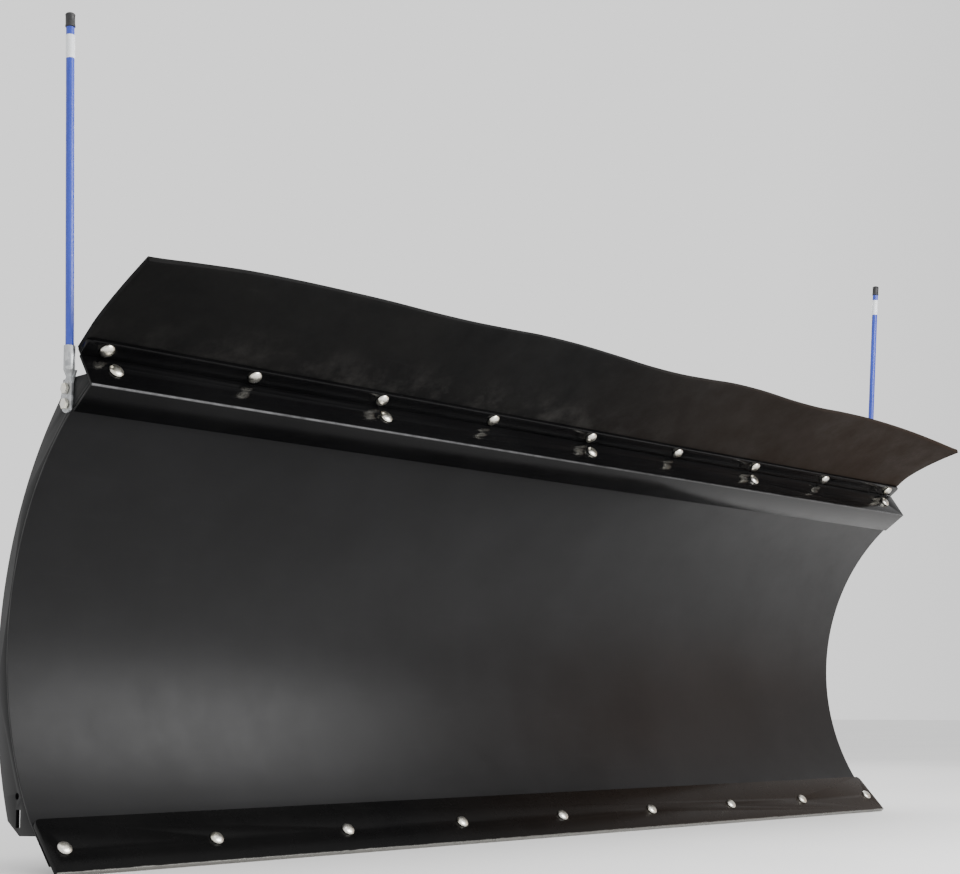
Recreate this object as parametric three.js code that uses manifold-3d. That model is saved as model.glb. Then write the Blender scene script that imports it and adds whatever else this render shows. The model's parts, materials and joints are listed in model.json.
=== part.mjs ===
// ATV plow blade: a rolled steel moldboard with a bolted wear bar, a rubber snow deflector
// clamped along its top, two blade markers, and on its back the ribs, rails, pivot clevises
// and skid shoes that carry it. Millimetres. X runs along the blade, Y to the rear, Z up,
// with the floor at z = 0. Side profiles are drawn in (y, z) and extruded along X.
import * as THREE from "three";
import { mergeVertices } from "three/addons/utils/BufferGeometryUtils.js";
import Module from "manifold-3d";

const wasm = await Module();
wasm.setup();

// ---------------------------------------------------------------- driving dimensions

const CLEARANCE = 0.3; // between pieces that touch
const BLADE_LENGTH = 1676.4;

// Moldboard: one rolled sheet, an arc from the side, with a flat flange along its foot.
const SHEET_THICKNESS = 3;
const FACE_RADIUS = 334.5;
const FACE_LOW_ANGLE = -34; // the arc's foot, in degrees about the face's centre
const FLANGE_SETBACK = 17; // the sheet's lower edge, up from the wear bar's

// Wear bar: a flat bar bolted to the front of the flange, leaning back from the floor.
const WEAR_BAR_WIDTH = 76.2;
const WEAR_BAR_THICKNESS = 6.35;
const WEAR_BAR_SLOPE = 47.2;
const WEAR_BAR_CORNER = 7; // radius of its top corners
const WEAR_BAR_MARGIN = 3; // from its top edge to the bend of the flange
const WEAR_BOLT_HEIGHT = 33.5; // up the bar from its lower edge
const WEAR_BOLT_INSET = 21.4; // of the end bolts, from the bar's ends
const WEAR_BOLT_COUNT = 9;

// Top angle: one leg lies on the face, the other is a shelf over the sheet's top edge.
const ANGLE_LEG = 44.45;
const ANGLE_THICKNESS = 3.2;
const ANGLE_POSITION = 55.8; // the front leg's middle, in degrees about the face's centre
const SHELF_BOLT_SETBACK = 26.7; // along the shelf from its corner
const SHELF_BOLT_INSET = 38.9;
const SHELF_BOLT_COUNT = 5;

// Deflector: a bent bracket behind the shelf, the rubber flap, and a clamp bar before it.
const BRACKET_OPENING = 88; // between its legs, in degrees
const BRACKET_LEG = 44.45; // the leg behind the flap
const BRACKET_START = 15; // of the leg under the shelf, along the shelf from its corner
const CLAMP_WIDTH = 22.2;
const CLAMP_THICKNESS = 4.8;
const CLAMP_CORNER = 8; // radius of its top corners
const FLAP_THICKNESS = 6.35;
const FLAP_WIDTH = 152.4; // from the clamp bar's lower edge to the free edge
const FLAP_DROOP = 22; // bend of the free part, in degrees
const FLAP_HINGE_GAP = 2; // on each side of the line where the flap flexes
const FLAP_BOLT_INSET = 27.6;
const FLAP_BOLT_COUNT = 9;

// Carriage bolts with their nuts.
const BOLT_DIAMETER = 7.94;
const BOLT_HOLE = 8.8;
const HEAD_DIAMETER = 17.8;
const HEAD_HEIGHT = 4.4;
const NUT_FLATS = 12.7;
const NUT_HEIGHT = 6.7;
const BOLT_TAIL = 3; // thread past the nut

// Ribs: plates on the back of the sheet, two at the ends and two inboard.
const RIB_THICKNESS = 4.8;
const RIB_GROWTH = 103.5; // of the rear edge's radius over the face's
const RIB_REAR_SHIFT = new THREE.Vector2(-80.2, -28.6); // of its centre, from the face's
const RIB_FOOT_SETBACK = 60; // where its foot starts, up the flange
const RIB_FOOT_HEIGHT = 40;
const RIB_HEEL_WIDTH = 26;
const RIB_HEEL_HEIGHT = 15.5;
const END_RIB_RISE = 13.3; // of its top, above the top angle's corner
const END_RIB_LAND = 20; // the straight rear edge under its top corner
const INNER_RIB_DROP = 32; // of its top, below the top angle's corner
const INNER_RIB_X = 300;
const RIB_SLOT = { width: 9, height: 20, setback: 24, rise: 19 };
const RIB_HOLE = { diameter: 8, setback: 30, rise: 44 };

// Rails: square tubes across the backs of the ribs, placed in degrees about the rib's centre.
const RAIL_WALL = 2.4;
const UPPER_RAIL = { size: 25.4, angle: 2.6, halfLength: BLADE_LENGTH / 2 };
const LOWER_RAIL = { size: 38.1, angle: -12.7, halfLength: 640 };

// Push-frame clevises on the lower rail, and spring anchors on the upper one.
const CLEVIS = { x: 215, gap: 54, plate: 8, reach: 62, radius: 22, root: 50, hole: 16.4 };
const ANCHOR = { x: 130, plate: 6.4, reach: 34, radius: 12, root: 24, hole: 11 };

// Skid shoes: dished shoes on round posts that slide in sleeves behind the lower rail.
const SKID_X = 560;
const SKID_TRAVEL = 40;
const POST_DIAMETER = 19;
const POST_ABOVE_PIN = 18;
const SLEEVE_WALL = 4;
const SLEEVE_BOTTOM = 70;
const SLEEVE_TOP = 170;
const SPACER_WALL = 7;
const SHOE = { radius: 55, flat: 30, thickness: 5, rise: 16, hubRadius: 16, hubTop: 37 };
const PIN_DIAMETER = 7;
const PIN_LENGTH = 40;

// Markers: flexible rods in sleeves that are flattened and bolted to the end ribs, both on
// the left face of the rib. boltGap is the shortest way from the sheet's back to the lower
// bolt's axis: it clears the left one's nut and the right one's tab, which lie behind the
// sheet. tubeShift is along Y, from the tab to the rod's axis.
const ROD_DIAMETER = 9.5;
const ROD_LENGTH = 372;
const ROD_HINGE_GAP = 3.6; // clears the sleeve at 30 degrees of bend
const CAP = { diameter: 11.5, length: 17, overlap: 14 };
const TUBE_DIAMETER = 12.7;
const TUBE_MOUTH_RISE = 33.4; // of its open end, above the rib's top
const TUBE_ROUND_LENGTH = 27;
const TUBE_TAPER_LENGTH = 14;
const TAB = { width: 20, thickness: 3, boltDrops: [12, 29] };
const TAB_BOLT = { diameter: 6.35, hole: 6.9, flats: 11.1, head: 4.2, nut: 5.5, tail: 2 };
const NUT_RADIUS = TAB_BOLT.flats / Math.sqrt(3);
const LEFT_MARKER = { side: "left", tubeShift: -10.8, boltGap: NUT_RADIUS + 1, lean: -1.8 };
const RIGHT_MARKER = { side: "right", tubeShift: 12.1, boltGap: TAB.width / 2 + 0.6, lean: 3.5 };

// ---------------------------------------------------------------- helpers

const { degToRad, radToDeg, lerp } = THREE.MathUtils;
const polar = (degrees) =>
  new THREE.Vector2(Math.cos(degToRad(degrees)), Math.sin(degToRad(degrees)));
const from = (point, direction, distance) => point.clone().addScaledVector(direction, distance);
const arcsine = (ratio) => radToDeg(Math.asin(ratio));

// Where the line through p along d meets the line through q along e.
function meet(p, d, q, e) {
  return from(p, d, q.clone().sub(p).cross(e) / d.cross(e));
}

const finish = (color, roughness, metalness) =>
  new THREE.MeshStandardMaterial({ color, roughness, metalness });
const BLACK_PAINT = finish(0x1b1b1d, 0.38, 0.2);
const WEAR_STEEL = finish(0x151416, 0.32, 0.3);
const ZINC = finish(0xc9c8c0, 0.3, 0.9);
const GALVANISED = finish(0x9a9da0, 0.5, 0.8);
const RUBBER = finish(0x171718, 0.8, 0);
const BLUE_PLASTIC = finish(0x2436a8, 0.45, 0);
const BLACK_PLASTIC = finish(0x0c0c0d, 0.55, 0);

const blade = new THREE.Group();

function addMesh(name, geometry, meshFinish) {
  const mesh = new THREE.Mesh(geometry, meshFinish);
  mesh.name = name;
  blade.add(mesh);
}

// A profile in (y, z) becomes a solid from x = start to x = end.
const PROFILE_AXES = new THREE.Matrix4().set(0, 0, 1, 0, 1, 0, 0, 0, 0, 1, 0, 0, 0, 0, 0, 1);
function extrudeAlong(shape, start, end, curveSegments = 6) {
  const options = { depth: end - start, bevelEnabled: false, curveSegments };
  return new THREE.ExtrudeGeometry(shape, options)
    .applyMatrix4(PROFILE_AXES)
    .translate(start, 0, 0);
}
const HALF = BLADE_LENGTH / 2;
const fullLength = (shape, curveSegments) => extrudeAlong(shape, -HALF, HALF, curveSegments);

function toSolid(geometry) {
  const bare = geometry.index ? geometry.toNonIndexed() : geometry.clone();
  bare.deleteAttribute("normal");
  bare.deleteAttribute("uv");
  const merged = mergeVertices(bare, 1e-4);
  const mesh = new wasm.Mesh({
    numProp: 3,
    vertProperties: merged.attributes.position.array,
    triVerts: new Uint32Array(merged.index.array),
  });
  return new wasm.Manifold(mesh);
}

function toGeometry(solid) {
  const mesh = solid.getMesh();
  const geometry = new THREE.BufferGeometry();
  geometry.setAttribute("position", new THREE.BufferAttribute(mesh.vertProperties, 3));
  geometry.setIndex(new THREE.BufferAttribute(mesh.triVerts, 1));
  geometry.computeVertexNormals();
  return geometry;
}

const cut = (geometry, tools) =>
  toGeometry(tools.reduce((solid, tool) => solid.subtract(toSolid(tool)), toSolid(geometry)));
const join = (geometries) => toGeometry(geometries.map(toSolid).reduce((a, b) => a.add(b)));

// Turns a piece made along +Y so that it runs along a (y, z) direction, and moves it there.
function aim(geometry, x, point, direction) {
  const along = new THREE.Vector3(0, direction.x, direction.y);
  const turn = new THREE.Quaternion().setFromUnitVectors(new THREE.Vector3(0, 1, 0), along);
  return geometry.applyQuaternion(turn).translate(x, point.x, point.y);
}

const cylinder = (diameter, length, sides = 12) =>
  new THREE.CylinderGeometry(diameter / 2, diameter / 2, length, sides);
const drillAt = (x, point, direction, diameter, depth) =>
  aim(cylinder(diameter, depth), x, point, direction);
const drillAlongX = (x, point, diameter, depth) =>
  cylinder(diameter, depth).rotateZ(Math.PI / 2).translate(x, point.x, point.y);

function polygon(points) {
  const shape = new THREE.Shape();
  points.forEach((p, i) => (i ? shape.lineTo(p.x, p.y) : shape.moveTo(p.x, p.y)));
  return shape;
}

function hole(x, y, diameter) {
  const path = new THREE.Path();
  path.absarc(x, y, diameter / 2, 0, 2 * Math.PI, true);
  return path;
}

const boltPlaces = (count, inset) =>
  Array.from({ length: count }, (_, i) => lerp(inset - HALF, HALF - inset, i / (count - 1)));

// A long flat bar: its outline has rounded upper corners and a row of bolt holes. It lies with
// its lower edge at a corner point, widens along one (y, z) direction and thickens along
// another, square to the first.
function flatBar({ corner, widening, width, thickening, thickness, half, radius, holes, holeHeight }) {
  const outline = new THREE.Shape();
  outline.moveTo(-half, 0);
  outline.lineTo(half, 0);
  outline.lineTo(half, width - radius);
  outline.absarc(half - radius, width - radius, radius, 0, Math.PI / 2, false);
  outline.lineTo(radius - half, width);
  outline.absarc(radius - half, width - radius, radius, Math.PI / 2, Math.PI, false);
  outline.holes = holes.map((x) => hole(x, holeHeight, BOLT_HOLE));
  const bar = new THREE.ExtrudeGeometry(outline, {
    depth: thickness,
    bevelEnabled: false,
    curveSegments: 5,
  });
  const placed = new THREE.Matrix4().makeBasis(
    new THREE.Vector3(1, 0, 0),
    new THREE.Vector3(0, widening.x, widening.y),
    new THREE.Vector3(0, thickening.x, thickening.y),
  );
  return bar.applyMatrix4(placed).translate(0, corner.x, corner.y);
}

// A carriage bolt and its nut, along +Y, with the underside of the domed head at y = 0.
function carriageBolt(grip) {
  const steps = 3;
  const dome = Array.from({ length: steps + 1 }, (_, i) => {
    const turn = (i / steps) * (Math.PI / 2);
    return new THREE.Vector2((HEAD_DIAMETER / 2) * Math.sin(turn), -HEAD_HEIGHT * Math.cos(turn));
  });
  dome[0].x = 0;
  const end = grip + NUT_HEIGHT + BOLT_TAIL;
  const profile = [
    ...dome,
    new THREE.Vector2(BOLT_DIAMETER / 2, 0),
    new THREE.Vector2(BOLT_DIAMETER / 2, end),
    new THREE.Vector2(0, end),
  ];
  const nutDiameter = NUT_FLATS / Math.cos(Math.PI / 6);
  const nut = cylinder(nutDiameter, NUT_HEIGHT, 6).translate(0, grip + NUT_HEIGHT / 2, 0);
  return join([new THREE.LatheGeometry(profile, 12), nut]);
}

function addBoltRow(name, places, facePoint, direction, stack) {
  const headSeat = from(facePoint, direction, -CLEARANCE);
  const grip = stack + 2 * CLEARANCE;
  places.forEach((x, i) =>
    addMesh(name + "_" + (i + 1), aim(carriageBolt(grip), x, headSeat, direction), ZINC),
  );
}

// A thick ring about a vertical axis.
const ring = (innerRadius, outerRadius, bottom, top) =>
  new THREE.LatheGeometry(
    [
      new THREE.Vector2(innerRadius, bottom),
      new THREE.Vector2(outerRadius, bottom),
      new THREE.Vector2(outerRadius, top),
      new THREE.Vector2(innerRadius, top),
      new THREE.Vector2(innerRadius, bottom),
    ],
    20,
  ).rotateX(Math.PI / 2);

// ---------------------------------------------------------------- side-view layout

// The wear bar's lower rear edge is the layout's origin. Its back lies on the flange.
const barUp = polar(WEAR_BAR_SLOPE);
const barOut = polar(WEAR_BAR_SLOPE + 90);
const floorPoint = new THREE.Vector2(0, 0);
const flangeFront = from(floorPoint, barOut, -CLEARANCE);
const bend = from(flangeFront, barUp, WEAR_BAR_WIDTH + WEAR_BAR_MARGIN);
const faceCentre = from(bend, polar(FACE_LOW_ANGLE), -FACE_RADIUS);
const sheetBack = FACE_RADIUS + SHEET_THICKNESS;

// The top angle's front leg is a chord of the face, just clear of it at both edges.
const shelfWay = polar(ANGLE_POSITION);
const cornerWay = polar(ANGLE_POSITION + 90);
const chordDepth = Math.sqrt((FACE_RADIUS - CLEARANCE) ** 2 - (ANGLE_LEG / 2) ** 2);
const legFront = from(faceCentre, shelfWay, chordDepth - ANGLE_THICKNESS);
const topCorner = from(legFront, cornerWay, ANGLE_LEG / 2);
const shelfReach = ANGLE_LEG / 2 - ANGLE_THICKNESS - CLEARANCE;

// The deflector's layers stand past the shelf's edge: clamp bar, rubber, bracket leg.
const flapWay = polar(ANGLE_POSITION + BRACKET_OPENING);
const layerWay = polar(ANGLE_POSITION + BRACKET_OPENING - 90);
const clampFoot = from(topCorner, shelfWay, ANGLE_LEG + CLEARANCE);
const flapFoot = from(clampFoot, layerWay, CLAMP_THICKNESS + CLEARANCE);
const bracketFoot = from(flapFoot, layerWay, FLAP_THICKNESS + CLEARANCE);
const bracketUnder = from(topCorner, cornerWay, -ANGLE_THICKNESS - CLEARANCE);

const ribCentre = faceCentre.clone().add(RIB_REAR_SHIFT);
const ribRadius = FACE_RADIUS + RIB_GROWTH;
const ribRearAt = (height) =>
  ribCentre.x + Math.sqrt(ribRadius ** 2 - (height - ribCentre.y) ** 2);
const endRibTop = topCorner.y + END_RIB_RISE;
const innerRibTop = topCorner.y - INNER_RIB_DROP;

const wearBoltPlaces = boltPlaces(WEAR_BOLT_COUNT, WEAR_BOLT_INSET);
const shelfBoltPlaces = boltPlaces(SHELF_BOLT_COUNT, SHELF_BOLT_INSET);
const flapBoltPlaces = boltPlaces(FLAP_BOLT_COUNT, FLAP_BOLT_INSET);

// ---------------------------------------------------------------- face of the blade

function addMoldboard() {
  const topTurn = ANGLE_POSITION + arcsine(shelfReach / sheetBack);
  const shape = new THREE.Shape();
  const foot = from(flangeFront, barUp, FLANGE_SETBACK);
  const [low, high] = [degToRad(FACE_LOW_ANGLE), degToRad(topTurn)];
  shape.moveTo(foot.x, foot.y);
  shape.absarc(faceCentre.x, faceCentre.y, FACE_RADIUS, low, high, false);
  shape.absarc(faceCentre.x, faceCentre.y, sheetBack, high, low, true);
  const footBack = from(foot, barOut, -SHEET_THICKNESS);
  shape.lineTo(footBack.x, footBack.y);
  const boltPoint = from(flangeFront, barUp, WEAR_BOLT_HEIGHT);
  const drills = wearBoltPlaces.map((x) => drillAt(x, boltPoint, barOut, BOLT_HOLE, 20));
  addMesh("moldboard", cut(fullLength(shape, 20), drills), BLACK_PAINT);
}

function addWearBar() {
  const bar = flatBar({
    corner: floorPoint,
    widening: barUp,
    width: WEAR_BAR_WIDTH,
    thickening: barOut,
    thickness: WEAR_BAR_THICKNESS,
    half: HALF,
    radius: WEAR_BAR_CORNER,
    holes: wearBoltPlaces,
    holeHeight: WEAR_BOLT_HEIGHT,
  });
  addMesh("wear_bar", bar, WEAR_STEEL);
  const face = from(from(floorPoint, barOut, WEAR_BAR_THICKNESS), barUp, WEAR_BOLT_HEIGHT);
  const into = polar(WEAR_BAR_SLOPE - 90);
  const stack = WEAR_BAR_THICKNESS + CLEARANCE + SHEET_THICKNESS;
  addBoltRow("wear_bolt", wearBoltPlaces, face, into, stack);
}

const shelfBoltPoint = from(topCorner, shelfWay, SHELF_BOLT_SETBACK);
const shelfInto = polar(ANGLE_POSITION - 90);

function addTopAngle() {
  const inner = from(from(topCorner, cornerWay, -ANGLE_THICKNESS), shelfWay, ANGLE_THICKNESS);
  const legEnd = from(topCorner, cornerWay, -ANGLE_LEG);
  const shelfEnd = from(topCorner, shelfWay, ANGLE_LEG);
  const section = polygon([
    topCorner,
    legEnd,
    from(legEnd, shelfWay, ANGLE_THICKNESS),
    inner,
    from(shelfEnd, cornerWay, -ANGLE_THICKNESS),
    shelfEnd,
  ]);
  const drills = shelfBoltPlaces.map((x) => drillAt(x, shelfBoltPoint, shelfInto, BOLT_HOLE, 20));
  addMesh("top_angle", cut(fullLength(section), drills), BLACK_PAINT);
  const stack = 2 * ANGLE_THICKNESS + CLEARANCE;
  addBoltRow("shelf_bolt", shelfBoltPlaces, shelfBoltPoint, shelfInto, stack);
}

// ---------------------------------------------------------------- snow deflector

const bracketHalf = HALF - RIB_THICKNESS - CLEARANCE;
const bracketOuterCorner = meet(
  from(bracketUnder, cornerWay, -ANGLE_THICKNESS),
  shelfWay,
  from(bracketFoot, layerWay, ANGLE_THICKNESS),
  flapWay,
);
const bracketTop = from(bracketOuterCorner, flapWay, BRACKET_LEG);
const bracketLift = bracketTop.clone().sub(flapFoot).dot(flapWay);
const clampMiddle = from(clampFoot, flapWay, CLAMP_WIDTH / 2);

function addBracket() {
  const innerCorner = meet(bracketUnder, shelfWay, bracketFoot, flapWay);
  const lowEnd = from(from(bracketUnder, cornerWay, -ANGLE_THICKNESS), shelfWay, BRACKET_START);
  const section = polygon([
    bracketOuterCorner,
    lowEnd,
    from(lowEnd, cornerWay, ANGLE_THICKNESS),
    innerCorner,
    from(bracketTop, layerWay, -ANGLE_THICKNESS),
    bracketTop,
  ]);
  const drills = [
    ...shelfBoltPlaces.map((x) => drillAt(x, shelfBoltPoint, shelfInto, BOLT_HOLE, 40)),
    ...flapBoltPlaces.map((x) => drillAt(x, clampMiddle, layerWay, BOLT_HOLE, 60)),
  ];
  const bracket = extrudeAlong(section, -bracketHalf, bracketHalf);
  addMesh("flap_bracket", cut(bracket, drills), BLACK_PAINT);
}

function addClampBar() {
  const bar = flatBar({
    corner: clampFoot,
    widening: flapWay,
    width: CLAMP_WIDTH,
    thickening: layerWay.clone().negate(),
    thickness: CLAMP_THICKNESS,
    half: HALF,
    radius: CLAMP_CORNER,
    holes: flapBoltPlaces,
    holeHeight: CLAMP_WIDTH / 2,
  });
  const back = layerWay.clone().multiplyScalar(CLAMP_THICKNESS);
  addMesh("clamp_bar", bar.translate(0, back.x, back.y), BLACK_PAINT);
  const stack = CLAMP_THICKNESS + FLAP_THICKNESS + ANGLE_THICKNESS + 2 * CLEARANCE;
  addBoltRow("flap_bolt", flapBoltPlaces, clampMiddle, layerWay, stack);
}

// The rubber sheet in two solids, split at the line where it flexes: the strip held in the
// clamp, up to the bracket's edge, and the free part, bent forward by its own weight.
function addFlap() {
  const held = polygon([
    flapFoot,
    from(flapFoot, layerWay, FLAP_THICKNESS),
    from(from(flapFoot, layerWay, FLAP_THICKNESS), flapWay, bracketLift),
    from(flapFoot, flapWay, bracketLift),
  ]);
  const drills = flapBoltPlaces.map((x) => drillAt(x, clampMiddle, layerWay, BOLT_HOLE, 60));
  addMesh("flap_clamped_edge", cut(fullLength(held), drills), RUBBER);

  const freeLength = FLAP_WIDTH - bracketLift - 2 * FLAP_HINGE_GAP;
  const bendRadius = freeLength / degToRad(FLAP_DROOP);
  const rootFront = from(flapFoot, flapWay, bracketLift + 2 * FLAP_HINGE_GAP);
  const bendCentre = from(rootFront, layerWay, -bendRadius);
  const startTurn = degToRad(ANGLE_POSITION + BRACKET_OPENING - 90);
  const endTurn = startTurn + degToRad(FLAP_DROOP);
  const free = new THREE.Shape();
  const outerRadius = bendRadius + FLAP_THICKNESS;
  free.absarc(bendCentre.x, bendCentre.y, bendRadius, startTurn, endTurn, false);
  free.absarc(bendCentre.x, bendCentre.y, outerRadius, endTurn, startTurn, true);
  addMesh("flap", fullLength(free, 5), RUBBER);
}

// ---------------------------------------------------------------- ribs and rails

const ribCornerY = ribRearAt(endRibTop - END_RIB_LAND) - 5;
const tabEnd = endRibTop - TAB.boltDrops[1];
const tabPlaceY = (marker) =>
  faceCentre.x + Math.sqrt((sheetBack + marker.boltGap) ** 2 - (tabEnd - faceCentre.y) ** 2);
const tabBoltPoints = (marker) =>
  TAB.boltDrops.map((drop) => new THREE.Vector2(tabPlaceY(marker), endRibTop - drop));

function ribShape(top, isEnd) {
  const back = sheetBack + CLEARANCE;
  const foot = from(from(flangeFront, barOut, -SHEET_THICKNESS - CLEARANCE), barUp, RIB_FOOT_SETBACK);
  const endTurn = ANGLE_POSITION + arcsine(shelfReach / back);
  const topTurn = isEnd ? endTurn : arcsine((top - faceCentre.y) / back);
  const rearTop = isEnd ? top - END_RIB_LAND : top;
  const heelTop = RIB_FOOT_HEIGHT + RIB_HEEL_HEIGHT;
  const turnAt = (height) => Math.asin((height - ribCentre.y) / ribRadius);
  const shape = new THREE.Shape();
  const kink = from(bend, barOut, -SHEET_THICKNESS - CLEARANCE);
  shape.moveTo(foot.x, foot.y);
  shape.lineTo(kink.x, kink.y);
  const [low, high] = [degToRad(FACE_LOW_ANGLE), degToRad(topTurn)];
  shape.absarc(faceCentre.x, faceCentre.y, back, low, high, false);
  if (isEnd) {
    const start = from(faceCentre, polar(topTurn), back);
    const end = from(start, shelfWay, (top - start.y) / shelfWay.y);
    shape.lineTo(end.x, end.y);
    shape.lineTo(ribCornerY, top);
  }
  shape.absarc(ribCentre.x, ribCentre.y, ribRadius, turnAt(rearTop), turnAt(heelTop), true);
  shape.lineTo(ribRearAt(heelTop) - RIB_HEEL_WIDTH, RIB_FOOT_HEIGHT);
  return shape;
}

function addRibs() {
  const slotHeight = RIB_FOOT_HEIGHT + RIB_SLOT.rise;
  const slotY = ribRearAt(slotHeight) - RIB_SLOT.setback;
  const holeHeight = RIB_FOOT_HEIGHT + RIB_HOLE.rise;
  const holePoint = new THREE.Vector2(ribRearAt(holeHeight) - RIB_HOLE.setback, holeHeight);
  for (const [marker, start] of [[LEFT_MARKER, -HALF], [RIGHT_MARKER, HALF - RIB_THICKNESS]]) {
    const middle = start + RIB_THICKNESS / 2;
    const depth = 3 * RIB_THICKNESS;
    const slot = new THREE.BoxGeometry(depth, RIB_SLOT.width, RIB_SLOT.height);
    const openings = [
      slot.translate(middle, slotY, slotHeight),
      drillAlongX(middle, holePoint, RIB_HOLE.diameter, depth),
      ...tabBoltPoints(marker).map((point) => drillAlongX(middle, point, TAB_BOLT.hole, depth)),
    ];
    const plate = extrudeAlong(ribShape(endRibTop, true), start, start + RIB_THICKNESS, 18);
    addMesh("rib_" + marker.side + "_end", cut(plate, openings), BLACK_PAINT);
  }
  for (const [side, way] of [["left", -1], ["right", 1]]) {
    const start = way * INNER_RIB_X - RIB_THICKNESS / 2;
    const plate = extrudeAlong(ribShape(innerRibTop, false), start, start + RIB_THICKNESS, 18);
    addMesh("rib_" + side + "_inner", plate, BLACK_PAINT);
  }
}

// A rail's centre, its outward direction and the middle of its back face.
function railPlace(rail) {
  const out = polar(rail.angle);
  const up = polar(rail.angle + 90);
  const centre = from(ribCentre, out, ribRadius + CLEARANCE + rail.size / 2);
  return { out, up, centre, back: from(centre, out, rail.size / 2 + CLEARANCE) };
}
const upperPlace = railPlace(UPPER_RAIL);
const lowerPlace = railPlace(LOWER_RAIL);

function addRail(name, rail, place) {
  const square = (half) => [
    [-half, -half],
    [half, -half],
    [half, half],
    [-half, half],
  ].map(([y, z]) => new THREE.Vector2(y, z));
  const section = polygon(square(rail.size / 2));
  section.holes = [new THREE.Path(square(rail.size / 2 - RAIL_WALL))];
  const tube = extrudeAlong(section, -rail.halfLength, rail.halfLength)
    .rotateX(degToRad(rail.angle))
    .translate(0, place.centre.x, place.centre.y);
  addMesh(name, tube, BLACK_PAINT);
}

// ---------------------------------------------------------------- clevises and anchors

// An ear's outline: it stands on a rail's back face and ends in a round eye.
function earShape({ reach, radius, root, hole: eye }) {
  const shape = new THREE.Shape();
  shape.moveTo(0, -root / 2);
  shape.lineTo(reach - radius, -radius);
  shape.absarc(reach - radius, 0, radius, -Math.PI / 2, Math.PI / 2, false);
  shape.lineTo(0, root / 2);
  shape.holes = [hole(reach - radius, 0, eye)];
  return shape;
}

const onRail = (geometry, rail, place) =>
  geometry.rotateX(degToRad(rail.angle)).translate(0, place.back.x, place.back.y);

function addClevis(name, x) {
  const inside = CLEVIS.gap / 2;
  const outside = inside + CLEVIS.plate;
  const web = new THREE.BoxGeometry(2 * outside, CLEVIS.plate, CLEVIS.root);
  const clevis = join([
    extrudeAlong(earShape(CLEVIS), x - outside, x - inside),
    extrudeAlong(earShape(CLEVIS), x + inside, x + outside),
    web.translate(x, CLEVIS.plate / 2, 0),
  ]);
  addMesh(name, onRail(clevis, LOWER_RAIL, lowerPlace), BLACK_PAINT);
}

function addAnchor(name, x) {
  const tab = extrudeAlong(earShape(ANCHOR), x - ANCHOR.plate / 2, x + ANCHOR.plate / 2);
  addMesh(name, onRail(tab, UPPER_RAIL, upperPlace), BLACK_PAINT);
}

// ---------------------------------------------------------------- skid shoes

const postRadius = POST_DIAMETER / 2;
const sleeveBore = postRadius + CLEARANCE;
const sleeveRadius = sleeveBore + SLEEVE_WALL;
const railRear = Math.max(
  ...[-1, 1].map((way) => from(lowerPlace.back, lowerPlace.up, (way * LOWER_RAIL.size) / 2).x),
);
const skidY = railRear + CLEARANCE + sleeveRadius;
const pinHeight = SLEEVE_TOP + SKID_TRAVEL + PIN_DIAMETER / 2 + CLEARANCE;

function addSkid(side, x) {
  const place = (geometry) => geometry.translate(x, skidY, 0);
  const sleeve = ring(sleeveBore, sleeveRadius, SLEEVE_BOTTOM, SLEEVE_TOP);
  addMesh("skid_sleeve_" + side, place(sleeve), BLACK_PAINT);
  const postBottom = SHOE.hubTop + CLEARANCE;
  const spacerTop = SLEEVE_BOTTOM - CLEARANCE;
  const spacer = ring(sleeveBore, postRadius + SPACER_WALL, postBottom, spacerTop);
  addMesh("skid_spacer_" + side, place(spacer), ZINC);

  const postLength = pinHeight + POST_ABOVE_PIN - postBottom;
  const post = cylinder(POST_DIAMETER, postLength, 20)
    .rotateX(Math.PI / 2)
    .translate(x, skidY, postBottom + postLength / 2);
  const pinPoint = new THREE.Vector2(skidY, pinHeight);
  const pinHole = drillAlongX(x, pinPoint, PIN_DIAMETER + 2 * CLEARANCE, 2 * POST_DIAMETER);
  addMesh("skid_post_" + side, cut(post, [pinHole]), ZINC);
  addMesh("skid_pin_" + side, drillAlongX(x, pinPoint, PIN_DIAMETER, PIN_LENGTH), ZINC);

  const dish = [
    [0, 0],
    [SHOE.flat, 0],
    [SHOE.radius, SHOE.rise - SHOE.thickness],
    [SHOE.radius, SHOE.rise],
    [SHOE.flat, SHOE.thickness],
    [SHOE.hubRadius, SHOE.thickness],
    [SHOE.hubRadius, SHOE.hubTop],
    [0, SHOE.hubTop],
  ].map(([radius, height]) => new THREE.Vector2(radius, height));
  const shoe = new THREE.LatheGeometry(dish, 28).rotateX(Math.PI / 2);
  addMesh("skid_shoe_" + side, place(shoe), BLACK_PAINT);
}

// ---------------------------------------------------------------- markers

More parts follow.
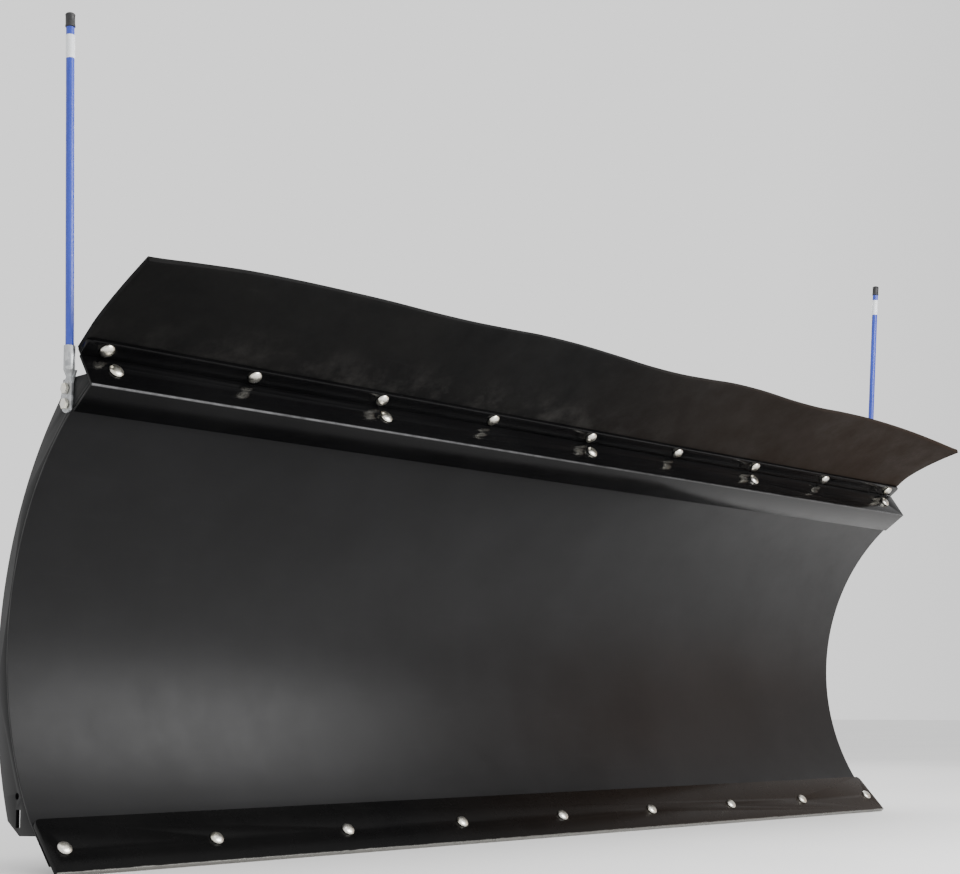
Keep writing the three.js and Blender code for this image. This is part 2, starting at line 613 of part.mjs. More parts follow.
function addMarker(marker, faceX) {
  const tubeX = faceX - CLEARANCE - TUBE_DIAMETER / 2;
  const tabY = tabPlaceY(marker);
  const tubeY = tabY + marker.tubeShift;
  const mouth = endRibTop + TUBE_MOUTH_RISE;
  const roundEnd = mouth - TUBE_ROUND_LENGTH;
  const taperEnd = roundEnd - TUBE_TAPER_LENGTH;
  const tabRadius = TAB.width / 2;
  const tabX = faceX - CLEARANCE - TAB.thickness / 2;

  const tube = cylinder(TUBE_DIAMETER, TUBE_ROUND_LENGTH, 16)
    .rotateX(Math.PI / 2)
    .translate(tubeX, tubeY, roundEnd + TUBE_ROUND_LENGTH / 2);
  const towardsTab = new THREE.Matrix4();
  towardsTab.elements[8] = (tubeX - tabX) / TUBE_TAPER_LENGTH;
  towardsTab.elements[9] = (tubeY - tabY) / TUBE_TAPER_LENGTH / 2;
  const [wide, narrow] = [TUBE_DIAMETER / 2, TAB.thickness / 2];
  const taper = new THREE.CylinderGeometry(wide, narrow, TUBE_TAPER_LENGTH, 16)
    .rotateX(Math.PI / 2)
    .translate(0, 0, -TUBE_TAPER_LENGTH / 2)
    .applyMatrix4(towardsTab)
    .translate(tubeX, tubeY, roundEnd);
  const outline = new THREE.Shape();
  outline.moveTo(tubeY - TUBE_DIAMETER / 2, roundEnd);
  outline.lineTo(tabY - tabRadius, taperEnd);
  outline.absarc(tabY, tabEnd, tabRadius, Math.PI, 2 * Math.PI, false);
  outline.lineTo(tabY + tabRadius, taperEnd);
  outline.lineTo(tubeY + TUBE_DIAMETER / 2, roundEnd);
  outline.holes = tabBoltPoints(marker).map((point) => hole(point.x, point.y, TAB_BOLT.hole));
  const tab = extrudeAlong(outline, tabX - TAB.thickness / 2, tabX + TAB.thickness / 2);
  addMesh("marker_sleeve_" + marker.side, join([tube, taper, tab]), GALVANISED);

  const headX = faceX - TAB.thickness - 2 * CLEARANCE;
  const nutX = faceX + RIB_THICKNESS + CLEARANCE;
  const hexDiameter = TAB_BOLT.flats / Math.cos(Math.PI / 6);
  const hex = (start, end) =>
    cylinder(hexDiameter, end - start, 6).rotateZ(Math.PI / 2).translate((start + end) / 2, 0, 0);
  const tail = nutX + TAB_BOLT.nut + TAB_BOLT.tail;
  tabBoltPoints(marker).forEach((point, i) => {
    const shank = cylinder(TAB_BOLT.diameter, tail - headX)
      .rotateZ(Math.PI / 2)
      .translate((headX + tail) / 2, 0, 0);
    const bolt = join([hex(headX - TAB_BOLT.head, headX), shank, hex(nutX, nutX + TAB_BOLT.nut)]);
    const name = "marker_bolt_" + marker.side + "_" + ["upper", "lower"][i];
    addMesh(name, bolt.translate(0, point.x, point.y), ZINC);
  });

  const up = polar(90 + marker.lean);
  const rodFoot = from(new THREE.Vector2(tubeY, mouth), up, ROD_HINGE_GAP);
  const rodBody = ROD_LENGTH - CAP.overlap;
  const rod = aim(cylinder(ROD_DIAMETER, rodBody), tubeX, from(rodFoot, up, rodBody / 2), up);
  addMesh("marker_rod_" + marker.side, rod, BLUE_PLASTIC);
  const capFoot = from(rodFoot, up, rodBody + CLEARANCE);
  const cap = aim(cylinder(CAP.diameter, CAP.length), tubeX, from(capFoot, up, CAP.length / 2), up);
  addMesh("marker_cap_" + marker.side, cap, BLACK_PLASTIC);
}

// ---------------------------------------------------------------- assembly

addMoldboard();
addWearBar();
addTopAngle();
addBracket();
addFlap();
addClampBar();
addRibs();
addRail("upper_rail", UPPER_RAIL, upperPlace);
addRail("lower_rail", LOWER_RAIL, lowerPlace);
for (const [side, way] of [["left", -1], ["right", 1]]) {
  addClevis("pivot_clevis_" + side, way * CLEVIS.x);
  addAnchor("spring_anchor_" + side, way * ANCHOR.x);
  addSkid(side, way * SKID_X);
}
addMarker(LEFT_MARKER, -HALF);
addMarker(RIGHT_MARKER, HALF - RIB_THICKNESS);

// The part's origin is the middle of its bounding box, on the floor.
const box = new THREE.Box3().setFromObject(blade);
blade.position.x = -(box.min.x + box.max.x) / 2;
blade.position.y = -(box.min.y + box.max.y) / 2;

export default blade;
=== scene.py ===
"""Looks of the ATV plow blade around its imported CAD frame.

Metres. X runs along the blade to its right end, Y to the rear, Z up, with the floor at z = 0.
Side profiles are written as (y, z).
"""

import json
import math

import bmesh
import bpy
from mathutils import Matrix, Vector, noise

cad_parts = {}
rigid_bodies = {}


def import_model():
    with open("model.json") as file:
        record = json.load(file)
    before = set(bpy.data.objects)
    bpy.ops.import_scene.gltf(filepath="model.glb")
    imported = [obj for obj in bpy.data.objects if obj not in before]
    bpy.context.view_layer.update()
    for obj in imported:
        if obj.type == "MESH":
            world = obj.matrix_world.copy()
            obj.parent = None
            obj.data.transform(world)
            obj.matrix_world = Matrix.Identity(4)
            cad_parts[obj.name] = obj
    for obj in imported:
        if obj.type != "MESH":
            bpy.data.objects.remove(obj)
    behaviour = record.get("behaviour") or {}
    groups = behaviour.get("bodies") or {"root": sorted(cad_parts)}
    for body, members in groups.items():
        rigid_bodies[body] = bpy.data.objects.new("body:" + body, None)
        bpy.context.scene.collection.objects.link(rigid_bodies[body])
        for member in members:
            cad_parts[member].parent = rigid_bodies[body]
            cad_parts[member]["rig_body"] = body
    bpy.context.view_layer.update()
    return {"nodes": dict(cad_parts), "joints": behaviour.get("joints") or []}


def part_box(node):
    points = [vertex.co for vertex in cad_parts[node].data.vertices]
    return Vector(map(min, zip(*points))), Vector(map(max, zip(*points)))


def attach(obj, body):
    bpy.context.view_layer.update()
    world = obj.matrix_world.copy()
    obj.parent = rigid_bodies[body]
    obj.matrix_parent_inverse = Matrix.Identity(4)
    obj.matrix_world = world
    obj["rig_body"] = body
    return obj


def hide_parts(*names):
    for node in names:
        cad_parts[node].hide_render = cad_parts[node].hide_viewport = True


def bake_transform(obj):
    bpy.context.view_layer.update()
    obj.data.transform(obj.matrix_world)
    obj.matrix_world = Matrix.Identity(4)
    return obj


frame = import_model()

# ------------------------------------------------------------------ sizes shared with the frame

BLADE_LEFT, BLADE_RIGHT = (corner.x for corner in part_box("wear_bar"))


def direction(degrees):
    """A (y, z) direction, as a vector in the side view."""
    return Vector((0, math.cos(math.radians(degrees)), math.sin(math.radians(degrees))))


FACE_CENTRE = Vector((0, -0.260197, 0.244958))
FACE_RADIUS = 0.3345
SHEET_THICKNESS = 0.003
BAR_UP = direction(47.2)  # the wear bar's slope
BAR_FOOT = Vector((0, -0.036916, 0))  # the wear bar's lower rear edge
BAR_INTO = direction(-42.8)
SHELF_INTO = direction(-34.2)  # through the top angle's shelf
FLAP_TURN = 143.8  # degrees, of the clamped rubber
FLAP_WAY = direction(FLAP_TURN)
LAYER_WAY = direction(53.8)  # through the clamp bar, the rubber and the bracket
FLAP_FOOT = Vector((0, -0.06478, 0.571729))
FLAP_THICKNESS = 0.00635
FLAP_WIDTH = 0.1524
FLAP_HINGE = 0.0403  # up the flap from its foot
JOINTS = {joint["name"]: joint for joint in frame["joints"]}

# ------------------------------------------------------------------ materials


class Shader:
    """A Principled material in row-frame coordinates, with short names for the usual nodes."""

    def __init__(self, name, roughness=0.5, metallic=0.0, **sockets):
        self.material = bpy.data.materials.new(name)
        self.material.use_nodes = True
        self.tree = self.material.node_tree
        self.surface = self.tree.nodes["Principled BSDF"]
        self.surface.inputs["Roughness"].default_value = roughness
        self.surface.inputs["Metallic"].default_value = metallic
        for socket, value in sockets.items():
            self.surface.inputs[socket.replace("_", " ")].default_value = value
        self.place = self.tree.nodes.new("ShaderNodeTexCoord").outputs["Object"]

    def node(self, kind, inputs=(), **settings):
        made = self.tree.nodes.new("ShaderNode" + kind)
        for name, value in settings.items():
            setattr(made, name, value)
        for key, value in dict(inputs).items():
            if isinstance(value, bpy.types.NodeSocket):
                self.tree.links.new(value, made.inputs[key])
            else:
                made.inputs[key].default_value = value
        return made

    def stretched(self, factors):
        return self.node("Mapping", {"Vector": self.place, "Scale": factors}).outputs["Vector"]

    def noise(self, scale, detail=4, rough=0.6, stretch=None):
        place = self.stretched(stretch) if stretch else self.place
        inputs = {"Vector": place, "Scale": scale, "Detail": detail, "Roughness": rough}
        return self.node("TexNoise", inputs).outputs["Fac"]

    def cells(self, scale, output="Distance"):
        return self.node("TexVoronoi", {"Vector": self.place, "Scale": scale}).outputs[output]

    def remap(self, value, low, high, to_low=0.0, to_high=1.0):
        inputs = {"Value": value, "From Min": low, "From Max": high}
        inputs.update({"To Min": to_low, "To Max": to_high})
        return self.node("MapRange", inputs).outputs["Result"]

    def times(self, a, b):
        return self.node("Math", {0: a, 1: b}, operation="MULTIPLY").outputs["Value"]

    def along(self, origin, way):
        """Distance in metres from origin along a direction."""
        offset = self.node("VectorMath", {0: self.place, 1: origin}, operation="SUBTRACT")
        inputs = {0: offset.outputs["Vector"], 1: way}
        return self.node("VectorMath", inputs, operation="DOT_PRODUCT").outputs["Value"]

    def mix(self, factor, a, b):
        inputs = {"Factor": factor, 6: rgba(a), 7: rgba(b)}
        return self.node("Mix", inputs, data_type="RGBA").outputs[2]

    def colour(self, value):
        self.tree.links.new(value, self.surface.inputs["Base Color"])

    def roughness(self, value):
        self.tree.links.new(value, self.surface.inputs["Roughness"])

    def metallic(self, value):
        self.tree.links.new(value, self.surface.inputs["Metallic"])

    def bumps(self, *layers):
        """Each layer is (height, strength, distance in metres)."""
        normal = None
        for height, strength, distance in layers:
            inputs = {"Height": height, "Strength": strength, "Distance": distance}
            if normal:
                inputs["Normal"] = normal
            normal = self.node("Bump", inputs).outputs["Normal"]
        self.tree.links.new(normal, self.surface.inputs["Normal"])


def rgba(value):
    return value if isinstance(value, bpy.types.NodeSocket) else (*value, 1.0)


def painted(name, dark, light, rough_low, rough_high, peel, shine, warm=None):
    """Powder coat: broad mottling, an orange-peel skin, faint handling marks and dust.

    peel is the orange peel's noise scale, and warm is the colour of a painted warm reflection that
    comes in to the right.
    """
    s = Shader(name, Specular_IOR_Level=shine)
    broad = s.remap(s.noise(5, 5, 0.65), 0.35, 0.68)
    base = s.mix(broad, dark, light)
    # Painted reflection: a warm brown, stronger to the right.
    if warm:
        base = s.mix(s.remap(s.along((0, 0, 0), (1, 0, 0)), -0.3, 0.8, 0.0, 0.6), base, warm)
    streaks = s.remap(s.noise(26, 5, 0.7, (0.5, 1.0, 3.5)), 0.55, 0.8, 0.0, 0.2)
    base = s.mix(streaks, base, tuple(2.1 * c for c in light))
    specks = s.remap(s.noise(520, 2, 0.5), 0.72, 0.8, 0.0, 0.5)
    s.colour(s.mix(specks, base, tuple(4 * c for c in light)))
    s.roughness(s.remap(s.noise(17, 6, 0.7), 0.3, 0.7, rough_low, rough_high))
    s.bumps((s.noise(peel, 2, 0.5), 0.14, 0.0003), (s.noise(9, 3, 0.5), 0.03, 0.002))
    return s


def black_paint():
    dark, light = (0.0035, 0.0035, 0.0038), (0.0065, 0.0065, 0.007)
    return painted("black_powder_coat", dark, light, 0.36, 0.43, 620, 0.17).material


def gloss_paint():
    """Glossier black, with a painted highlight along the top angle's front corner."""
    dark, light = (0.002, 0.002, 0.0022), (0.004, 0.004, 0.0042)
    s = painted("gloss_powder_coat", dark, light, 0.14, 0.22, 480, 0.11)
    corner = min((v.co for v in frame["nodes"]["top_angle"].data.vertices), key=lambda v: v.y)
    flat = s.node("VectorMath", {0: s.place, 1: (0, 1, 1)}, operation="MULTIPLY")
    away = s.node("VectorMath", {0: flat.outputs["Vector"], 1: (0, corner.y, corner.z)},
                  operation="DISTANCE").outputs["Value"]
    # Painted highlight: a light line along the top angle's front corner, in patches, fading to the
    # right.
    highlight_line = s.remap(away, 0.0009, 0.0024, 0.75, 0.0)
    patches = s.remap(s.noise(38, 5, 0.7), 0.3, 0.6, 0.35, 1.0)
    fading = s.remap(s.along((0, 0, 0), (1, 0, 0)), -0.8, 0.1, 1.0, 0.3)
    edge_wear_and_painted_highlight = s.times(s.times(highlight_line, patches), fading)
    coat = s.surface.inputs["Base Color"].links[0].from_socket
    s.colour(s.mix(edge_wear_and_painted_highlight, coat, (0.2, 0.2, 0.205)))
    return s.material


def wear_bar_paint():
    """Semi-gloss black, rubbed bright along the lower edge."""
    dark, light = (0.002, 0.002, 0.0021), (0.004, 0.0039, 0.0039)
    # The brown that comes in to the right is a painted warm reflection.
    s = painted("wear_bar_coat", dark, light, 0.24, 0.31, 540, 0.08, warm=(0.02, 0.013, 0.009))
    height = s.along(BAR_FOOT, BAR_UP)
    ragged = s.node("Math", {0: height, 1: s.remap(s.noise(60, 5, 0.7), 0, 1, -0.0016, 0.0016)},
                    operation="ADD").outputs["Value"]
    edge_wear_and_painted_highlight = s.remap(ragged, 0.0003, 0.0015, 1.0, 0.0)
    coat = s.surface.inputs["Base Color"].links[0].from_socket
    s.colour(s.mix(edge_wear_and_painted_highlight, coat, (0.22, 0.215, 0.2)))
    s.metallic(s.times(edge_wear_and_painted_highlight, 0.9))
    return s.material


def rubber():
    """Matt black sheet with a fine pressed grain, a painted warm reflection to the right, and dust
    gathered above the clamp bar.
    """
    s = Shader("deflector_rubber", Specular_IOR_Level=0.08)
    dark, light = (0.0025, 0.0025, 0.0026), (0.0055, 0.0053, 0.005)
    base = s.mix(s.remap(s.noise(7, 6, 0.7), 0.3, 0.7), dark, light)
    # Painted reflection: a warm brown that comes in to the right.
    right = s.remap(s.along((0, 0, 0), (1, 0, 0)), -0.1, 0.85, 0.0, 0.75)
    base = s.mix(right, base, (0.024, 0.0155, 0.0105))
    near_clamp = s.remap(s.along(FLAP_FOOT, FLAP_WAY), 0.022, 0.085, 0.85, 0.0)
    smudges = s.remap(s.noise(15, 6, 0.72), 0.47, 0.72)
    off_middle = s.node("Math", {0: s.along((-0.27, 0, 0), (1, 0, 0))}, operation="ABSOLUTE")
    most_dust = s.remap(off_middle.outputs["Value"], 0.15, 0.5, 1.0, 0.35)
    dust = s.times(s.times(near_clamp, most_dust), smudges)
    base = s.mix(dust, base, (0.03, 0.0285, 0.0265))
    scuffs = s.remap(s.noise(32, 5, 0.75, (0.35, 1.6, 1.6)), 0.62, 0.84, 0.0, 0.4)
    s.colour(s.mix(scuffs, base, (0.022, 0.021, 0.02)))
    s.roughness(s.remap(s.noise(24, 5, 0.7), 0.3, 0.7, 0.58, 0.82))
    s.bumps((s.noise(950, 2, 0.6), 0.3, 0.0003), (s.noise(42, 4, 0.6), 0.16, 0.0008))
    return s.material


def zinc():
    """Bright zinc plate with a faint yellow passivation and dull spots."""
    s = Shader("bright_zinc", metallic=1.0)
    base = s.mix(s.remap(s.noise(90, 4, 0.6), 0.35, 0.65), (0.66, 0.65, 0.62), (0.74, 0.71, 0.6))
    spots = s.remap(s.noise(420, 3, 0.6), 0.58, 0.76, 0.0, 0.6)
    s.colour(s.mix(spots, base, (0.42, 0.41, 0.38)))
    s.roughness(s.remap(s.noise(260, 4, 0.65), 0.3, 0.7, 0.2, 0.42))
    s.bumps((s.noise(1500, 2, 0.5), 0.14, 0.0002))
    return s.material


def galvanised():
    """Dull galvanised steel with its spangle."""
    s = Shader("galvanised_tube", metallic=0.85)
    spangle = s.node("SeparateColor", {"Color": s.cells(190, "Color")}).outputs["Red"]
    base = s.mix(spangle, (0.3, 0.31, 0.32), (0.5, 0.51, 0.52))
    s.colour(s.mix(s.remap(s.noise(70, 5, 0.7), 0.5, 0.75, 0, 0.7), base, (0.22, 0.22, 0.21)))
    s.roughness(s.remap(spangle, 0, 1, 0.38, 0.58))
    s.bumps((s.noise(700, 3, 0.6), 0.2, 0.0003))
    return s.material


def marker_blue():
    """Drawn plastic rod: faint streaks along it and fine scratches."""
    s = Shader("marker_blue")
    streak = s.remap(s.noise(330, 4, 0.6, (1, 1, 0.035)), 0.3, 0.7)
    base = s.mix(streak, (0.016, 0.035, 0.3), (0.028, 0.06, 0.43))
    s.colour(s.mix(s.remap(s.noise(55, 5, 0.7), 0.6, 0.8, 0, 0.4), base, (0.09, 0.12, 0.42)))
    s.roughness(s.remap(s.noise(120, 4, 0.6), 0.3, 0.7, 0.26, 0.46))
    s.bumps((streak, 0.1, 0.0002))
    return s.material


def reflective_tape():
    """White sheeting with its small cells."""
    s = Shader("reflective_tape", Coat_Weight=0.35, Coat_Roughness=0.12)
    rib = s.remap(s.cells(720), 0.0, 0.5)
    s.colour(s.mix(rib, (0.86, 0.87, 0.88), (0.7, 0.72, 0.74)))
    s.roughness(s.remap(s.noise(90, 3, 0.5), 0.3, 0.7, 0.25, 0.42))
    s.bumps((rib, 0.12, 0.0002))
    return s.material


def vinyl():
    """Dull black dipped vinyl."""
    s = Shader("cap_vinyl")
    dark, light = (0.008, 0.008, 0.009), (0.02, 0.02, 0.021)
    s.colour(s.mix(s.remap(s.noise(160, 4, 0.6), 0.3, 0.7), dark, light))
    s.roughness(s.remap(s.noise(240, 3, 0.6), 0.3, 0.7, 0.4, 0.6))
    s.bumps((s.noise(1200, 2, 0.5), 0.2, 0.0002))
    return s.material


PAINT = black_paint()
GLOSS = gloss_paint()
WEAR = wear_bar_paint()
RUBBER = rubber()
ZINC = zinc()
GALVANISED = galvanised()
BLUE = marker_blue()
TAPE = reflective_tape()
VINYL = vinyl()

# ------------------------------------------------------------------ making pieces


def make(name, mesh, material, body, replaced=()):
    """Adds a mesh as a piece that rides on a body."""
    obj = bpy.data.objects.new(name, mesh)
    bpy.context.scene.collection.objects.link(obj)
    mesh.materials.clear()
    mesh.materials.append(material)
    if replaced:
        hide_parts(*replaced)
    if body:
        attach(obj, body)
    return obj


def to_mesh(bm, name, smooth_angle=32):
    """Finishes a bmesh: faces out, and edges sharper than the angle stay sharp."""
    bmesh.ops.recalc_face_normals(bm, faces=bm.faces)
    for face in bm.faces:
        face.smooth = True
    limit = math.radians(smooth_angle)
    for edge in bm.edges:
        edge.smooth = len(edge.link_faces) != 2 or edge.calc_face_angle(0) < limit
    mesh = bpy.data.meshes.new(name)
    bm.to_mesh(mesh)
    bm.free()
    return mesh


def refine(node, material, edge=0.0006, angle=32):
    """Replaces a CAD node by the same shape with its sharp edges rounded."""
    source = frame["nodes"][node]
    body = source["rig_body"]
    bm = bmesh.new()
    bm.from_mesh(source.data)
    bmesh.ops.remove_doubles(bm, verts=bm.verts, dist=1e-5)
    bmesh.ops.dissolve_limit(bm, angle_limit=math.radians(1), verts=bm.verts, edges=bm.edges)
    limit = math.radians(angle)
    sharp = [e for e in bm.edges if len(e.link_faces) == 2 and e.calc_face_angle(0) > limit]
    bmesh.ops.bevel(bm, geom=sharp, offset=edge, segments=2, profile=0.6,
                    affect="EDGES", clamp_overlap=True)
    return make("finished_" + node, to_mesh(bm, node + "_mesh"), material, body, [node])


def ring_at(bm, place, radius, height, sides):
    """A round of vertices about local Z of a frame."""
    return [
        bm.verts.new(place @ Vector((radius * math.cos(t), radius * math.sin(t), height)))
        for t in (2 * math.pi * i / sides for i in range(sides))
    ]


def lathe(bm, profile, sides, place):
    """Turns (radius, height) pairs about local Z. A radius of 0 closes the end."""
    rings = []
    for radius, height in profile:
        if radius < 1e-9:
            rings.append([bm.verts.new(place @ Vector((0, 0, height)))])
        else:
            rings.append(ring_at(bm, place, radius, height, sides))
    for low, high in zip(rings, rings[1:]):
        for i in range(sides):
            j = (i + 1) % sides
            corners = (low[i % len(low)], low[j % len(low)],
                       high[j % len(high)], high[i % len(high)])
            unique = list(dict.fromkeys(corners))
            if len(unique) > 2:
                bm.faces.new(unique)


def tube(bm, points, radii, sides=10):
    """A closed round bar through points, with a radius at each."""
    rings = []
    for i, point in enumerate(points):
        ahead = points[min(i + 1, len(points) - 1)] - points[max(i - 1, 0)]
        turn = ahead.to_track_quat("Z", "Y")
        rings.append([
            bm.verts.new(point + turn @ Vector((radii[i] * math.cos(t), radii[i] * math.sin(t), 0)))
            for t in (2 * math.pi * k / sides for k in range(sides))
        ])
    for low, high in zip(rings, rings[1:]):
        for i in range(sides):
            j = (i + 1) % sides
            bm.faces.new((low[i], low[j], high[j], high[i]))
    bm.faces.new(rings[0][::-1])
    bm.faces.new(rings[-1])


def toward(point, way):
    """A frame at a point, with local Z along a direction."""
    return Matrix.Translation(point) @ way.to_track_quat("Z", "Y").to_matrix().to_4x4()


# ------------------------------------------------------------------ plates, bars and rails

for name in ("moldboard", "rib_left_end", "rib_right_end", "rib_left_inner", "rib_right_inner",
             "upper_rail", "lower_rail", "pivot_clevis_left", "pivot_clevis_right",
             "spring_anchor_left", "spring_anchor_right", "skid_sleeve_left", "skid_sleeve_right",
             "skid_shoe_left", "skid_shoe_right"):
    refine(name, PAINT)
for name in ("top_angle", "flap_bracket", "clamp_bar"):
    refine(name, GLOSS, edge=0.0009)
refine("wear_bar", WEAR, edge=0.0008)
for side in ("left", "right"):
    refine("marker_sleeve_" + side, GALVANISED, edge=0.0004)
    refine("skid_post_" + side, ZINC)
    refine("skid_spacer_" + side, ZINC, edge=0.0005)

# ------------------------------------------------------------------ carriage bolts

HEAD_RADIUS, HEAD_HEIGHT = 0.0089, 0.0044
SHANK_RADIUS = 0.00397
NUT_FLATS, NUT_HEIGHT = 0.0127, 0.0067
BOLT_TAIL = 0.003


def hex_nut(bm, place, flats, height):
    """A hexagonal nut with chamfered corners, from local z = 0 up."""
    corner = flats / math.sqrt(3)
    rings = []
    for share, level in ((0.9, 0), (1.0, 0.1), (1.0, 0.9), (0.9, 1.0)):
        rings.append([
            bm.verts.new(place @ Vector((corner * share * math.cos(t), corner * share * math.sin(t),
                                         height * level)))
            for t in (math.pi / 3 * k for k in range(6))
        ])
    for low, high in zip(rings, rings[1:]):
        for i in range(6):
            j = (i + 1) % 6
            bm.faces.new((low[i], low[j], high[j], high[i]))
    bm.faces.new(rings[0][::-1])
    bm.faces.new(rings[-1])


def threads(start, end, radius, pitch=0.0014):
    """A (radius, height) outline with rings for a thread."""
    count = int((end - start) / pitch)
    outline = []
    for i in range(count):
        outline += [(radius, start + i * pitch), (radius * 0.88, start + (i + 0.5) * pitch)]
    return outline + [(radius, start + count * pitch)]


def carriage_bolt(name, node, seat, way):
    """Domed head before the seat, round shank hidden in the bar, nut and thread behind."""
    tip = max((v.co - seat).dot(way) for v in frame["nodes"][node].data.vertices)
    grip = tip - NUT_HEIGHT - BOLT_TAIL
    bm = bmesh.new()
    place = toward(seat, way)
    dome = [(0, -HEAD_HEIGHT)]
    for i in range(1, 9):
        turn = i / 9 * math.pi / 2
        dome.append((HEAD_RADIUS * math.sin(turn), -HEAD_HEIGHT * math.cos(turn) ** 0.85))
    dome += [(HEAD_RADIUS, -0.0004), (HEAD_RADIUS * 0.97, 0), (SHANK_RADIUS, 0.00005)]
    end = grip + NUT_HEIGHT
    lathe(bm, [*dome, (SHANK_RADIUS, end), *threads(end + 0.0001, tip - 0.0006, SHANK_RADIUS),
               (SHANK_RADIUS * 0.8, tip), (0, tip)], 28, place)
    hex_nut(bm, place @ Matrix.Translation((0, 0, grip)), NUT_FLATS, NUT_HEIGHT)
    make(name, to_mesh(bm, name), ZINC, "blade", [node])


def head_seat(node, way):
    """The middle of the underside of a bolt's head."""
    low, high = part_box(node)
    front = min((v.co.dot(way), tuple(v.co)) for v in frame["nodes"][node].data.vertices)[1]
    return Vector(((low.x + high.x) / 2, front[1], front[2])) + way * HEAD_HEIGHT


BOLT_ROWS = (("wear_bolt", 9, BAR_INTO), ("shelf_bolt", 5, SHELF_INTO), ("flap_bolt", 9, LAYER_WAY))
for row, count, way in BOLT_ROWS:
    for i in range(1, count + 1):
        node = f"{row}_{i}"
        carriage_bolt("finished_" + node, node, head_seat(node, way), way)

# ------------------------------------------------------------------ rubber flap

# Degrees that the flap has bent by at its free edge, at even steps from its left end to its
# right. It hangs at the corners and waves between them.
DROOP = (12.6, 7.2, 1.9, -0.9, -2.1, -2.4, -1.0, -1.0, -3.3, -6.4, -5.7, -1.6, 3.1,
         4.3, 1.8, -1.6, -0.6, 4.2, 6.0, 4.4, 4.0, 6.2, 10.4, 16.4, 22.5)
BEND_SHARPNESS = 0.35  # below 1, most of the bend is close to the clamp


def droop_at(x):
    """A smooth curve through the steps of DROOP."""
    place = (x - BLADE_LEFT) / (BLADE_RIGHT - BLADE_LEFT) * (len(DROOP) - 1)
    i = min(int(place), len(DROOP) - 2)
    t = place - i
    a, b, c, d = (DROOP[min(max(i + k, 0), len(DROOP) - 1)] for k in (-1, 0, 1, 2))
    return 0.5 * (2 * b + (c - a) * t + (2 * a - 5 * b + 4 * c - d) * t ** 2
                  + (3 * b - a - 3 * c + d) * t ** 3)


def flap_column(x, steps=26):
    """Front points and thickness directions up the flap at one place along the blade."""
    at, previous, column = FLAP_FOOT.copy(), 0.0, []
    for i in range(steps + 1):
        s = FLAP_WIDTH * i / steps
        bent = max(0.0, (s - FLAP_HINGE) / (FLAP_WIDTH - FLAP_HINGE))
        turn = FLAP_TURN + droop_at(x) * bent ** BEND_SHARPNESS
        at = at + direction(turn) * (s - previous)
        previous = s
        column.append((Vector((x, at.y, at.z)), direction(turn - 90)))
    return column


def add_flap():
    """One waved sheet, from its clamped edge to its free edge."""
    bm = bmesh.new()
    columns = 260
    fronts, backs = [], []
    for c in range(columns + 1):
        x = BLADE_LEFT + (BLADE_RIGHT - BLADE_LEFT) * c / columns
        points = flap_column(x)
        fronts.append([bm.verts.new(p) for p, _ in points])
        backs.append([bm.verts.new(p + n * FLAP_THICKNESS) for p, n in points])
    last = len(fronts[0]) - 1
    for a, b, flip in [(fronts[c], fronts[c + 1], False) for c in range(columns)] + [
            (backs[c], backs[c + 1], True) for c in range(columns)]:
        for i in range(last):
            corners = (a[i], b[i], b[i + 1], a[i + 1])
            bm.faces.new(corners[::-1] if flip else corners)
    for c in range(columns):
        for i in (0, last):
            bm.faces.new((fronts[c][i], backs[c][i], backs[c + 1][i], fronts[c + 1][i]))
    for c in (0, columns):
        for i in range(last):
            bm.faces.new((fronts[c][i], fronts[c][i + 1], backs[c][i + 1], backs[c][i]))
    bmesh.ops.recalc_face_normals(bm, faces=bm.faces)
    limit = math.radians(40)
    rim = [e for e in bm.edges if e.calc_face_angle(0) > limit]
    bmesh.ops.bevel(bm, geom=rim, offset=0.0009, segments=2, profile=0.6, affect="EDGES")
    flap = make("deflector_sheet", to_mesh(bm, "deflector_sheet"), RUBBER, None,
                ["flap", "flap_clamped_edge"])
    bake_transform(flap)


add_flap()

# ------------------------------------------------------------------ markers

ROD_RADIUS = 0.00475
CAP_RADIUS = 0.00575
BAND = (0.027, 0.009)  # length of the white band, and the blue left between it and the cap


